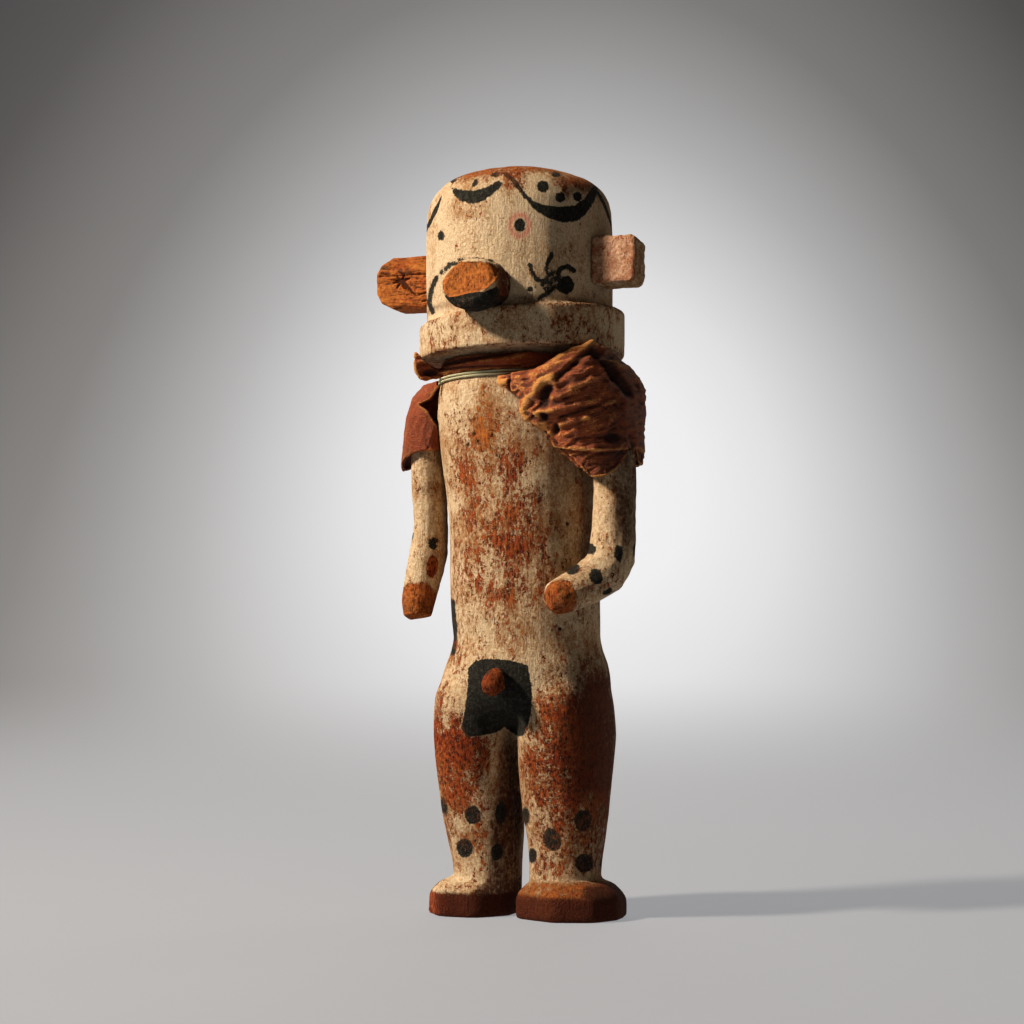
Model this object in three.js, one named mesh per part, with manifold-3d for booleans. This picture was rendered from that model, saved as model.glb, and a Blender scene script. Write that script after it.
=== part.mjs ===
import * as THREE from 'three';
import { mergeVertices } from 'three/addons/utils/BufferGeometryUtils.js';
import Module from 'manifold-3d';

// A standing doll whittled from one cottonwood root: tall round head on a thick collar, straight
// trunk, two stout legs on blunt feet. The ears, the snout and the arms are whittled apart and
// fixed on. Scraps of hide hang on the neck and shoulders, tied with a string.
// The doll faces -Y, its left side is +X, and its soles stand on z = 0. Sizes are in millimetres.

const wasm = await Module();
wasm.setup();

// Driving dimensions
const height = 320;            // soles to crown
const clearance = 0.3;         // left between pieces that touch
const leftEarReach = 16.9;     // how far each ear stands out of the head
const leftEarHeight = 20.6;
const leftEarDepth = 15.4;     // front face to back face
const rightEarReach = 24;
const rightEarHeight = 22.8;
const rightEarDepth = 15;
const snoutReach = 14.5;       // how far the snout stands out of the face
const snoutWidth = 25;
const snoutHeight = 22;
const hideThickness = 1.8;
const stringDiameter = 1.2;
const stringPitch = 1.35;      // between the two turns of the string
const sideTurn = 20;           // degrees: the collar's tilt and the hide's curled end lie across this

// The carving keeps its proportions, so its forms are shares of the height, in percent.
const share = (percent) => height * percent / 100;

const figure = {
  headRadius: 12.62,
  headShift: -0.33,            // the head's axis is a little to the doll's right
  domeSpring: 91.06,            // where the sides of the head start to round over
  domePower: 3.6,             // above 2 the dome's shoulders are fuller
  headFoot: 77.4,              // buried in the collar
  collarRadius: 13.98,
  collarBottom: 74.23,
  collarTop: 79.62,
  collarTilt: 0.075,           // its top is cut higher on the doll's left
  collarBevel: 1.05,
};

// Level, half width, half depth and shift to the left and to the back of the trunk, from the neck down
const trunkRows = [
  [75.45, 9.76, 9.25, -0.2, 0],
  [73.02, 9.85, 9.35, -0.3, 0],
  [71.7, 10.5, 9.74, -0.5, 0],
  [69.47, 10.89, 9.99, -0.65, 0],
  [66.54, 10.98, 10.13, -0.75, 0.1],
  [62.4, 10.72, 10.12, -0.6, 0.2],
  [57.88, 10.36, 9.96, -0.3, 0.2],
  [53.76, 10.04, 9.74, 0, 0.1],
  [48.76, 9.93, 9.58, 0.2, 0],
  [42.77, 10.06, 9.56, 0.4, 0],
  [38.99, 9.95, 9.55, 0.55, 0],
  [36.51, 9.79, 9.59, 0.65, 0.1],
  [34.92, 10.14, 9.89, 0.6, 0.2],
  [32.84, 11.02, 10.43, 0.5, 0.4],
  [30.66, 11.62, 10.75, 0.3, 0.5],
  [29.3, 11.55, 10.55, 0.2, 0.45],
  [27.9, 10.9, 9.85, 0.15, 0.35],
  [26.3, 8.9, 8.4, 0.15, 0.2],
  [25.0, 6.1, 6.2, 0.15, 0.2],
];

// Level, middle to the left, middle to the back, half width and half depth of the legs
const leftLegRows = [
  [32.0, 5.2, 0.4, 3.8, 6.2],
  [30.8, 5.6, 0.4, 5.2, 8.6],
  [29.5, 5.9, 0.4, 5.65, 9.45],
  [27.4, 6.1, 0.3, 5.8, 9.67],
  [23.76, 6.24, 0.1, 5.94, 9.21],
  [20.22, 6.18, 0, 5.89, 8.21],
  [16.78, 6.13, 0.1, 5.73, 7.31],
  [13.16, 6.17, 0.1, 5.38, 6.52],
  [9.83, 6.16, 0.2, 4.98, 5.82],
  [6.91, 6.06, 0.2, 4.63, 5.32],
  [4.47, 6.01, 0.1, 4.53, 5.22],
  [2.43, 6, 0, 4.53, 5.02],
];
const rightLegRows = [
  [32.0, -4.96, 0.4, 3.8, 6.2],
  [30.8, -5.3, 0.4, 5.2, 8.6],
  [29.5, -5.55, 0.4, 5.62, 9.35],
  [27.4, -5.75, 0.3, 5.75, 9.57],
  [23.76, -5.79, 0.1, 5.69, 9.01],
  [20.22, -5.79, 0, 5.59, 8.01],
  [16.78, -5.73, 0.1, 5.49, 7.12],
  [13.16, -5.58, 0.1, 5.28, 6.32],
  [9.83, -5.28, 0.2, 4.98, 5.62],
  [6.91, -5.03, 0.2, 4.58, 5.12],
  [4.47, -4.87, 0.1, 4.38, 4.92],
  [2.43, -4.87, 0, 4.38, 4.82],
];

// Corners of the soles, left and back of the doll's axis, going round by the left, and the point
// their tops rise to
const feet = {
  left: {
    corners: [
      [0.49, -4.72], [6.69, -7.77], [12, -6.1], [14.16, -2.16],
      [13.77, 3.25], [9.64, 6.59], [3.54, 6.39], [0.69, 2.95],
    ],
    ankle: [6.1, 0],
  },
  right: {
    corners: [
      [-12.79, -2.36], [-9.54, -6.49], [-4.23, -6.49], [-0.79, -2.56],
      [-0.89, 3.15], [-3.15, 6.3], [-8.56, 6.2], [-12.49, 2.75],
    ],
    ankle: [-4.92, 0],
  },
};
const footForm = {
  rimAtToe: 3.1,
  rimAtHeel: 2.2,
  top: 5,
  cornerRounding: 1.1,
};

// Middle (left, back, level) and half thickness and half depth of the arms, from the shoulder down
const leftArmRows = [
  [12.45, -1.2, 69.98, 1.2, 1.81],
  [12.75, -1.41, 69.37, 2.51, 2.81],
  [12.94, -1.71, 67.35, 3.11, 3.31],
  [13.62, -2, 61.9, 2.9, 3.41],
  [13.85, -2.2, 55.87, 2.8, 3.4],
  [13.78, -2.5, 50.26, 2.85, 3.49],
  [13.71, -3.19, 47.16, 3.04, 3.39],
  [12.96, -4.58, 44.96, 2.99, 3.19],
  [11.26, -6.48, 43.47, 2.74, 2.79],
  [9.46, -8.76, 42.17, 2.54, 2.49],
  [8.16, -10.35, 41.48, 2.19, 2.19],
  [7.57, -11.05, 41.18, 1.19, 1.29],
];
const rightArmRows = [
  [-12.75, -0.7, 66.3, 1.2, 1.81],
  [-12.85, -0.8, 65.8, 2.21, 2.71],
  [-13.02, -0.95, 64.5, 2.4, 3.25],
  [-13.12, -1, 61.9, 2.35, 3.31],
  [-13, -1.1, 55.87, 2.2, 3.3],
  [-12.78, -1.1, 51.76, 2.15, 3.4],
  [-12.87, -1.5, 48.76, 2.39, 3.59],
  [-13.06, -2.69, 45.76, 2.39, 3.29],
  [-13.15, -3.89, 43.27, 2.29, 2.79],
  [-13.14, -4.68, 41.18, 2.19, 2.39],
  [-13.09, -4.93, 39.59, 1.89, 1.99],
  [-13.03, -4.93, 39.19, 1.09, 1.19],
];

// The hide on each shoulder: rings of points (left, back, level) from the shoulder down to the hem.
// A ring starts in front and goes round by the doll's left.
const leftSleeveRings = [
  [
    [0.6, -10.95, 70.48], [7.03, -10.45, 71.8], [12.57, -8.04, 74.74], [14.78, -3.62, 73.32],
    [15.67, 1.41, 71.6], [14.06, 5.42, 70.99], [10.45, 7.63, 70.99], [4.02, -2.01, 70.38],
  ], [
    [0.9, -11.35, 69.57], [6.63, -12.35, 70.79], [13.06, -9.45, 72.81], [15.87, -4.22, 71.6],
    [16.47, 1.61, 70.18], [14.66, 6.12, 69.77], [10.24, 8.33, 69.57], [3.01, -3.01, 69.37],
  ], [
    [3.41, -10.94, 67.75], [7.63, -12.65, 68.97], [13.25, -9.64, 69.57], [16.46, -4.02, 68.76],
    [16.86, 1.61, 67.95], [14.85, 6.02, 67.75], [10.44, 8.13, 67.55], [4.01, -4.01, 67.75],
  ], [
    [4.31, -10.73, 65.23], [8.83, -11.93, 65.93], [13.44, -9.03, 66.14], [16.55, -3.91, 65.53],
    [16.84, 1.4, 64.92], [14.84, 5.51, 64.72], [10.63, 7.22, 64.72], [5.01, -4.01, 65.33],
  ], [
    [7.02, -9.92, 63.51], [10.22, -10.42, 63.21], [13.83, -8.02, 62.91], [16.53, -3.41, 62.5],
    [16.83, 1.2, 61.9], [15.03, 4.81, 61.8], [11.22, 6.01, 62.1], [6.01, -4.01, 62.81],
  ], [
    [8.91, -8.91, 61.09], [11.31, -9.0, 60.29], [14.35, -7.6, 60.2], [16.52, -2.9, 61],
    [16.87, 1.1, 60.89], [15.22, 4.11, 60.69], [12.02, 4.91, 60.49], [7.01, -3.4, 60.49],
  ], [
    [11.2, -8.3, 58.4], [12.2, -8.1, 57.1], [14.3, -7.2, 57.4], [16.1, -3.2, 60.1],
    [16.72, 0.9, 59.69], [15.12, 3.3, 59.48], [12.61, 3.6, 59.28], [9.01, -2.6, 59.08],
  ],
];
const rightSleeveRings = [
  [
    [-11.65, -3.01, 71.6], [-10.05, -2.01, 72], [-9.55, 1, 72.21], [-10.55, 3.01, 72],
    [-12.66, 3.01, 71.6], [-13.86, 1, 71.39], [-13.96, -1.21, 71.19], [-13.06, -2.61, 71.29],
  ], [
    [-12.25, -4.92, 69.57], [-9.54, -4.02, 70.38], [-8.54, 0, 70.69], [-10.04, 4.22, 70.38],
    [-13.05, 4.62, 70.18], [-15.26, 2.21, 69.88], [-15.56, -1, 69.57], [-14.36, -3.81, 69.37],
  ], [
    [-12.94, -5.52, 66.94], [-10.03, -4.62, 67.35], [-8.83, -0.5, 67.55], [-10.03, 4.41, 67.35],
    [-13.44, 5.02, 67.15], [-15.95, 2.61, 66.94], [-16.25, -1, 66.64], [-15.05, -4.21, 66.74],
  ], [
    [-13.23, -5.41, 64.32], [-10.63, -4.41, 64.52], [-9.32, -0.4, 64.62], [-10.43, 4.01, 64.52],
    [-13.63, 4.81, 64.32], [-16.24, 2.61, 64.12], [-16.74, -1, 63.92], [-15.44, -4.21, 64.12],
  ], [
    [-13.32, -5.11, 61.8], [-11.22, -4.31, 62], [-10.22, -0.3, 62.3], [-11.02, 3.61, 62.1],
    [-13.82, 4.51, 61.5], [-16.52, 2.6, 60.49], [-17.12, -1, 59.48], [-15.82, -4.11, 60.69],
  ],
];

// The gap torn in the front of the right one, and the hide's curled end beside the collar, seen
// along sideTurn: across to the left and level
const tearFloor = -6;           // how near the gap's floor stands to the viewer, from the doll's axis
const sleeveTear = [
  [-14.1, 68.2], [-12.44, 68.84], [-11.5, 70.34], [-10.56, 71.16], [-8.6, 71.16],
  [-8.6, 64.9], [-11.4, 64.9], [-12.28, 66.26], [-12.84, 67.2],
];
const curledEnd = [
  [-14.38, 74.95], [-14.47, 73.6], [-14.38, 72.24], [-13.84, 71.36], [-13.03, 71.05], [-12.34, 71.2],
  [-10, 71.75], [-10, 72.95], [-11.5, 72.9], [-12.38, 73.2], [-13.44, 73.85], [-13.84, 74.5],
];

const flatness = 0.08;         // how far a facet may stand off the form it stands for, beyond the sides below
const sides = { trunk: 36, leg: 22, arm: 16, head: 38, sleeve: 20 };

// Puts each row of a cylinder's corners where the given function says: place(row, across, front)
// gets the row counted from the top, and the corner's direction to the left and to the front.
function formed(rowCount, sideCount, place) {
  const geometry = new THREE.CylinderGeometry(1, 1, 1, sideCount, rowCount - 1);
  const corners = geometry.getAttribute('position');
  for (let i = 0; i < corners.count; i++) {
    const row = Math.round((0.5 - corners.getY(i)) * (rowCount - 1));
    const point = place(row, corners.getX(i), corners.getZ(i));
    corners.setXYZ(i, point.x, point.y, point.z);
  }
  return geometry;
}

function solidOf(geometry) {
  const bare = geometry.index ? geometry.toNonIndexed() : geometry.clone();
  bare.deleteAttribute('normal');
  bare.deleteAttribute('uv');
  const merged = mergeVertices(bare, 1e-4);
  return new wasm.Manifold(new wasm.Mesh({
    numProp: 3,
    vertProperties: Float32Array.from(merged.getAttribute('position').array),
    triVerts: Uint32Array.from(merged.index.array),
  }));
}

// An upright form of oval rows. Squareness above 2 makes the ovals fuller at the corners.
function uprightForm(rows, sideCount, grow, squareness = 2) {
  const fuller = 2 / squareness;
  const rounded = (v) => Math.sign(v) * Math.abs(v) ** fuller;
  return solidOf(formed(rows.length, sideCount, (row, across, front) => {
    const { level, left, back, halfWidth, halfDepth } = rows[row];
    const end = row === 0 ? grow : row === rows.length - 1 ? -grow : 0;
    return new THREE.Vector3(
      left + rounded(across) * (halfWidth + grow),
      back - rounded(front) * (halfDepth + grow),
      level + end,
    );
  }));
}

// A limb of oval sections, each square to the line through the middles of the rows
function limbForm(rows, sideCount, grow) {
  const middles = rows.map((row) => new THREE.Vector3(...row.slice(0, 3)).multiplyScalar(share(1)));
  const last = rows.length - 1;
  const headings = middles.map((middle, i) => middles[Math.min(i + 1, last)].clone()
    .sub(middles[Math.max(i - 1, 0)]).normalize());
  return solidOf(formed(rows.length, sideCount, (row, across, front) => {
    const up = headings[row].clone().negate();
    const forward = new THREE.Vector3(1, 0, 0).cross(up).normalize();
    const left = up.clone().cross(forward);
    const end = row === 0 ? grow : row === last ? -grow : 0;
    return middles[row].clone()
      .addScaledVector(left, across * (share(rows[row][3]) + grow))
      .addScaledVector(forward, front * (share(rows[row][4]) + grow))
      .addScaledVector(up, end);
  }));
}

function trunk(grow) {
  const rows = trunkRows.map(([level, halfWidth, halfDepth, left, back]) => ({
    level: share(level), left: share(left), back: share(back),
    halfWidth: share(halfWidth), halfDepth: share(halfDepth),
  }));
  return uprightForm(rows, sides.trunk, grow);
}

function leg(legRows) {
  const rows = legRows.map(([level, left, back, halfWidth, halfDepth]) => ({
    level: share(level), left: share(left), back: share(back),
    halfWidth: share(halfWidth), halfDepth: share(halfDepth),
  }));
  return uprightForm(rows, sides.leg, 0, 2.3);
}

// The sole's outline with each corner cut back to a small round
function soleOutline(corners, rounding) {
  return corners.flatMap((corner, i) => {
    const here = new THREE.Vector2(...corner);
    const [before, after] = [corners.at(i - 1), corners[(i + 1) % corners.length]]
      .map((next) => new THREE.Vector2(...next).sub(here).setLength(rounding).add(here));
    return new THREE.QuadraticBezierCurve(before, here, after).getPoints(2);
  }).map((point) => point.multiplyScalar(share(1)));
}

// A blunt foot: an upright rim, taller at the toe than at the heel, under a top that rises to the ankle
function foot({ corners, ankle }) {
  const outline = soleOutline(corners, footForm.cornerRounding);
  const middle = new THREE.Vector2(...ankle).multiplyScalar(share(1));
  const toe = Math.min(...outline.map((point) => point.y));
  const rise = [
    [0.4, 1, 0], [0.62, 0.93, 0], [0.8, 0.72, 0], [0.93, 0.36, 0],
    [0.99, 0.08, 0], [1, -0.12, 0], [1, 0, 1], [0.98, 0, 2],
  ];
  return solidOf(formed(rise.length, outline.length, (row, across, front) => {
    const turn = (Math.atan2(across, front) / (2 * Math.PI) + 1) % 1;
    const centre = Math.hypot(across, front) < 0.5;
    const [spread, climb, low] = rise[row];
    const edge = outline[Math.round(turn * outline.length) % outline.length];
    const forward = THREE.MathUtils.clamp(edge.y / toe, 0, 1);
    const rim = share(THREE.MathUtils.lerp(footForm.rimAtHeel, footForm.rimAtToe, forward));
    const level = low ? (low === 1 ? share(0.35) : 0) : rim + (share(footForm.top) - rim) * climb;
    return new THREE.Vector3(
      centre ? middle.x : middle.x + (edge.x - middle.x) * spread,
      centre ? middle.y : middle.y + (edge.y - middle.y) * spread,
      centre && row === 0 ? share(footForm.top) : centre ? 0 : level,
    );
  }));
}

// The round head: a drum with a dome like a flattened ball, a little fuller on the doll's left
function head(grow) {
  const radius = share(figure.headRadius) + grow;
  const spring = share(figure.domeSpring);
  const rise = share(100) - spring + grow;
  const arc = 9;
  const foot = share(figure.headFoot);
  const profile = [new THREE.Vector2(0, foot), new THREE.Vector2(radius, foot)];
  for (let i = 0; i <= arc; i++) {
    const angle = i / arc * Math.PI / 2;
    const out = i === arc ? 0 : Math.cos(angle) ** (2 / figure.domePower);
    const up = Math.sin(angle) ** (2 / figure.domePower);
    profile.push(new THREE.Vector2(radius * out, spring + rise * up));
  }
  const shape = turned(profile);
  const corners = shape.getAttribute('position');
  for (let i = 0; i < corners.count; i++) {
    const over = Math.max(0, corners.getZ(i) - spring) / rise;
    const fuller = 0.035 * corners.getX(i) * over * (1 - 0.6 * over);
    corners.setXYZ(i, corners.getX(i) + share(figure.headShift), corners.getY(i), corners.getZ(i) + fuller);
  }
  return solidOf(shape);
}

// A profile of radius and level, turned about the vertical axis
function turned(profile) {
  return new THREE.LatheGeometry(profile, sides.head).rotateX(Math.PI / 2);
}

function collar(grow) {
  const radius = share(figure.collarRadius) + grow;
  const bottom = share(figure.collarBottom) - grow;
  const top = share(figure.collarTop) + grow;
  const bevel = share(figure.collarBevel);
  const rounding = share(0.3);
  const shape = turned([
    new THREE.Vector2(0, bottom),
    new THREE.Vector2(radius - bevel, bottom),
    new THREE.Vector2(radius - bevel * 0.25, bottom + bevel * 0.35),
    new THREE.Vector2(radius, bottom + bevel),
    new THREE.Vector2(radius, top - rounding),
    new THREE.Vector2(radius - rounding, top),
    new THREE.Vector2(0, top),
  ]);
  const corners = shape.getAttribute('position');
  const turn = THREE.MathUtils.degToRad(sideTurn);
  for (let i = 0; i < corners.count; i++) {
    const across = corners.getX(i) * Math.cos(turn) + corners.getY(i) * Math.sin(turn);
    const up = (corners.getZ(i) - bottom) / (top - bottom);
    const tilt = THREE.MathUtils.lerp(figure.collarTilt / 3, figure.collarTilt, up);
    corners.setZ(i, corners.getZ(i) + across * tilt);
  }
  return solidOf(shape);
}

// The small knob at the groin, carved with the trunk
function groinKnob() {
  return limbForm([
    [0.3, -9.6, 30.96, 1.2, 1.3], [0.3, -11.4, 30.81, 1.15, 1.25],
    [0.3, -12.6, 30.37, 1.1, 1.15], [0.3, -13.3, 29.92, 0.75, 0.75],
  ], 12, 0);
}

const leftArm = (grow) => limbForm(leftArmRows, sides.arm, grow);
const rightArm = (grow) => limbForm(rightArmRows, sides.arm, grow);

// An ear is a block with its far corners cut away, seated on the head
function ear({ side, reach, tall, depth, level, back, droop, cut, bevel }) {
  const inner = share(figure.headRadius) * 0.8;
  const outer = share(figure.headRadius) + reach;
  const half = tall / 2;
  const outline = new THREE.Shape([
    [inner, -half], [outer - cut[0], -half],
    [outer - cut[0] * 0.3, -half + cut[1] * 0.4], [outer, -half + cut[1]],
    [outer, half - cut[1]], [outer - cut[0] * 0.3, half - cut[1] * 0.4],
    [outer - cut[0], half], [inner, half],
  ].map(([x, y]) => new THREE.Vector2(x, y)));
  const block = new THREE.ExtrudeGeometry(outline, {
    depth: depth - 2 * bevel, bevelThickness: bevel, bevelSize: bevel, bevelOffset: -bevel, bevelSegments: 2,
  });
  block.translate(0, 0, -depth / 2 + bevel).rotateX(Math.PI / 2).rotateY(THREE.MathUtils.degToRad(droop));
  if (side < 0) block.rotateZ(Math.PI);
  block.translate(share(figure.headShift), share(back), share(level));
  return solidOf(block).subtract(head(clearance)).subtract(collar(clearance));
}

// The snout is a stub with an oval section and a blunt end cut on a slant
function snout() {
  const face = share(figure.headRadius);
  const rows = [
    [1.0, 0.45, 0], [1.02, 0.8, 0.15], [0.9, 0.97, 0.35],
    [0.7, 1, 0.3], [0.35, 1.0, 0.1], [-1.1, 0.97, 0],
  ];
  const across = snoutWidth / 2;
  const upward = snoutHeight / 2;
  const shape = solidOf(formed(rows.length, 26, (row, side, up) => {
    const [out, spread, droop] = rows[row];
    const slant = out > 0.5 ? 2.2 * up * spread : 0;
    const reach = face + snoutReach * out - slant;
    return new THREE.Vector3(-side * across * spread, -reach, up * upward * spread - droop);
  }));
  return shape.rotate([0, 0, -4]).translate([share(-0.05), 0, share(82.06)])
    .subtract(head(clearance)).subtract(collar(clearance));
}

// The trunk's half width, half depth, shift to the left and shift to the back at a level
function trunkAt(level) {
  const below = trunkRows.findIndex((row) => share(row[0]) <= level);
  const [upper, lower] = [trunkRows[below - 1], trunkRows[below]];
  const way = (share(upper[0]) - level) / share(upper[0] - lower[0]);
  return upper.slice(1).map((value, i) => share(THREE.MathUtils.lerp(value, lower[i + 1], way)));
}

// An oval round the neck, a given distance outside the wood at its lowest turn
function neckOval(outside, level) {
  const [halfWidth, halfDepth, left, back] = trunkAt(stringLevel - stringPitch - stringDiameter / 2);
  return (turn) => new THREE.Vector3(
    left + (halfWidth + outside) * Math.sin(turn),
    back - (halfDepth + outside) * Math.cos(turn),
    level,
  );
}

const stringLevel = share(71.39);

// Two turns of string about the neck, knotted behind
function neckString(grow) {
  const radius = stringDiameter / 2 + grow;
  const turns = [0, 1].map((n) => {
    const oval = neckOval(clearance + stringDiameter / 2, stringLevel - n * stringPitch);
    const points = Array.from({ length: 24 }, (_, i) => oval(i / 24 * 2 * Math.PI));
    const section = new THREE.Shape().absarc(0, 0, radius, 0, 2 * Math.PI);
    return solidOf(new THREE.ExtrudeGeometry(section, {
      steps: 26, curveSegments: 3, bevelEnabled: false, extrudePath: new THREE.CatmullRomCurve3(points, true),
    }));
  });
  const knotPlace = neckOval(clearance + stringDiameter, stringLevel - stringPitch / 2)(Math.PI);
  const knot = new THREE.SphereGeometry(stringDiameter * 1.25 + grow, 8, 5).translate(...knotPlace.toArray());
  return turns[0].add(turns[1]).add(solidOf(knot));
}

// A plate standing on edge across sideTurn: its outline across and up, its thickness, and how far
// its back stands towards the viewer at each place across
function upright(outline, thickness, stand) {
  const shape = new THREE.Shape(outline.map((place) => new THREE.Vector2(...place).multiplyScalar(share(1))));
  const plate = new THREE.ExtrudeGeometry(shape, { depth: thickness, bevelEnabled: false });
  const turn = THREE.MathUtils.degToRad(sideTurn);
  const corners = plate.getAttribute('position');
  for (let i = 0; i < corners.count; i++) {
    const [across, level] = [corners.getX(i), corners.getY(i)];
    const near = stand(across) + corners.getZ(i);
    corners.setXYZ(
      i,
      across * Math.cos(turn) + near * Math.sin(turn),
      across * Math.sin(turn) - near * Math.cos(turn),
      level,
    );
  }
  return solidOf(plate);
}

// The hide's upper edge, folded out between the string and the collar, with one end curled up beside it
function neckHide() {
  const [, halfWidth, halfDepth, left] = trunkRows[1];
  const bottom = stringLevel + stringDiameter / 2 + clearance;
  const top = share(figure.collarBottom) - clearance - 1.2;
  const swell = [0.2, 0.75, 1, 0.85, 0.3];
  const rows = swell.map((s, i) => ({
    level: THREE.MathUtils.lerp(top, bottom, i / (swell.length - 1)),
    left: share(left), back: 0,
    halfWidth: share(halfWidth) + hideThickness * (1 + s * 0.9),
    halfDepth: share(halfDepth) + hideThickness * (1 + s * 0.9),
  }));
  const ring = uprightForm(rows, sides.trunk, 0);
  // The curled end leans towards the neck as it comes in under the collar.
  const curl = upright(curledEnd, hideThickness, (across) => 9 - Math.max(0, across + 44) * 0.5);
  return ring.add(curl)
    .subtract(trunk(clearance)).subtract(collar(clearance)).subtract(neckString(clearance));
}

// What the hide leaves free: the wood, the string and the hide on the neck
function worn(piece) {
  return piece.subtract(trunk(clearance)).subtract(collar(clearance)).subtract(neckString(clearance))
    .subtract(neckHideSolid.add(neckHideSolid.translate([0, 0, -clearance])));
}

// A sleeve's rings, each point moved by shrink towards the middle of its own ring
function sleeveForm(rings, shrink) {
  const curves = rings.map((ring) => {
    const points = ring.map((point) => new THREE.Vector3(...point).multiplyScalar(share(1)));
    const middle = new THREE.Vector3();
    points.forEach((point) => middle.addScaledVector(point, 1 / points.length));
    const moved = points.map((point) => {
      const inward = middle.clone().sub(point).setZ(0);
      return point.addScaledVector(inward.normalize(), shrink);
    });
    return { middle, curve: new THREE.CatmullRomCurve3(moved, true) };
  });
  return solidOf(formed(rings.length, sides.sleeve, (row, across, front) => {
    const { middle, curve } = curves[row];
    if (Math.hypot(across, front) < 0.5) return middle;
    return curve.getPoint((Math.atan2(across, front) / (2 * Math.PI) + 1) % 1);
  }));
}

// The hollow of a sleeve, from a little below the hem up to the given ring
function sleeveHollow(rings, first) {
  const below = rings.at(-1).map(([left, back, level]) => [left, back, level - 3]);
  return sleeveForm([...rings.slice(first), below], hideThickness);
}

function leftSleeve() {
  return worn(sleeveForm(leftSleeveRings, 0)).subtract(leftArm(clearance))
    .subtract(sleeveHollow(leftSleeveRings, 4));
}

function rightSleeve() {
  return worn(sleeveForm(rightSleeveRings, 0)).subtract(rightArm(clearance))
    .subtract(sleeveHollow(rightSleeveRings, 3)).subtract(upright(sleeveTear, 40, () => tearFloor));
}

function largest(solid) {
  return solid.decompose().reduce((a, b) => (a.volume() > b.volume() ? a : b));
}

function meshOf(name, solid, { color, roughness }) {
  const { vertProperties, triVerts, numProp } = largest(solid.simplify(flatness)).getMesh();
  const corners = new Float32Array(vertProperties.length / numProp * 3);
  for (let i = 0; i < corners.length / 3; i++) {
    corners.set(vertProperties.subarray(i * numProp, i * numProp + 3), i * 3);
  }
  const geometry = new THREE.BufferGeometry();
  geometry.setAttribute('position', new THREE.BufferAttribute(corners, 3));
  geometry.setIndex(new THREE.BufferAttribute(Uint32Array.from(triVerts), 1));
  geometry.computeVertexNormals();
  const mesh = new THREE.Mesh(geometry, new THREE.MeshStandardMaterial({ color, roughness, metalness: 0 }));
  mesh.name = name;
  return mesh;
}

const finish = {
  paintedWood: { color: 0xcbb48c, roughness: 0.9 },
  pinkWood: { color: 0xc59a7c, roughness: 0.9 },
  bareWood: { color: 0xb06a3c, roughness: 0.75 },
  darkWood: { color: 0x9a5c30, roughness: 0.8 },
  hide: { color: 0x6e3420, roughness: 0.8 },
  string: { color: 0xb9bd9a, roughness: 0.9 },
};

const body = trunk(0).add(leg(leftLegRows)).add(leg(rightLegRows)).add(foot(feet.left)).add(foot(feet.right))
  .add(collar(0)).add(head(0)).add(groinKnob());

const leftEar = ear({
  side: 1, reach: leftEarReach, tall: leftEarHeight, depth: leftEarDepth,
  level: 86.66, back: -2.35, droop: 1.5, cut: [2.6, 2.6], bevel: 1.6,
});
const rightEar = ear({
  side: -1, reach: rightEarReach, tall: rightEarHeight, depth: rightEarDepth,
  level: 85.53, back: -0.5, droop: 0, cut: [8, 7], bevel: 1,
});

const neckHideSolid = largest(neckHide());

const doll = new THREE.Group();
doll.add(
  meshOf('body', body, finish.paintedWood),
  meshOf('left_ear', leftEar, finish.pinkWood),
  meshOf('right_ear', rightEar, finish.bareWood),
  meshOf('snout', snout(), finish.darkWood),
  meshOf('left_arm', leftArm(0).subtract(trunk(clearance)), finish.paintedWood),
  meshOf('right_arm', rightArm(0).subtract(trunk(clearance)), finish.paintedWood),
  meshOf('neck_hide', neckHideSolid, finish.hide),
  meshOf('left_sleeve', leftSleeve(), finish.hide),
  meshOf('right_sleeve', rightSleeve(), finish.hide),
  meshOf('neck_string', neckString(0), finish.string),
);

// The origin is under the middle of the whole doll's box, on the soles' plane.
const box = new THREE.Box3().setFromObject(doll);
doll.position.set(-(box.min.x + box.max.x) / 2, -(box.min.y + box.max.y) / 2, -box.min.z);

export default doll;
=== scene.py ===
import math
import bmesh
import bpy
import numpy as np
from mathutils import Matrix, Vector


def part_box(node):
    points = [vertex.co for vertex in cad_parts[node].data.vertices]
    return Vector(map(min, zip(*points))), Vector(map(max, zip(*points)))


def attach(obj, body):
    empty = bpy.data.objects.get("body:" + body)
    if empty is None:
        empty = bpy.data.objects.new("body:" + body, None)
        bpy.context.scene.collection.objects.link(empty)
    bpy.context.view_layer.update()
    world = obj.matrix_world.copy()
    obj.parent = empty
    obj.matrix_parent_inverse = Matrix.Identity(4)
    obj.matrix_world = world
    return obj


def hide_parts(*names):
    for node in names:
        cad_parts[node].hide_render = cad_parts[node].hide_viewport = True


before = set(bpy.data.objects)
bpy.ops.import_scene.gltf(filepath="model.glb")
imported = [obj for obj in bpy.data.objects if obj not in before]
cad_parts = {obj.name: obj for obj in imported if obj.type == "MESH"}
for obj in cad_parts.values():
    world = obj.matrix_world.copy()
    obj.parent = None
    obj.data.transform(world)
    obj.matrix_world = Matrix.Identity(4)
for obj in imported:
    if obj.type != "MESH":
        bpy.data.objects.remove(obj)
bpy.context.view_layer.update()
print("frame loaded")

# The doll's own upright axis in the frame, in mm. It faces -Y.
doll = dict(axis=(4.515, 6.091), height=320.0)

# Where the doll is seen from. Marks are laid out on a drawing of the doll as seen from there:
# across from left to right, down from top to bottom, the axis at 522 and the floor at 914.
seen = dict(azimuth=20.0, distance=842.7, height=105.1, rise=4.502, lens=68.77,
            middle=512.0, reach=1956.0, across=522.0, unit=0.4325)


def fromDoll(points):
    return np.asarray(points) * 1000 - np.array([doll["axis"][0], doll["axis"][1], 0.0])


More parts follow.
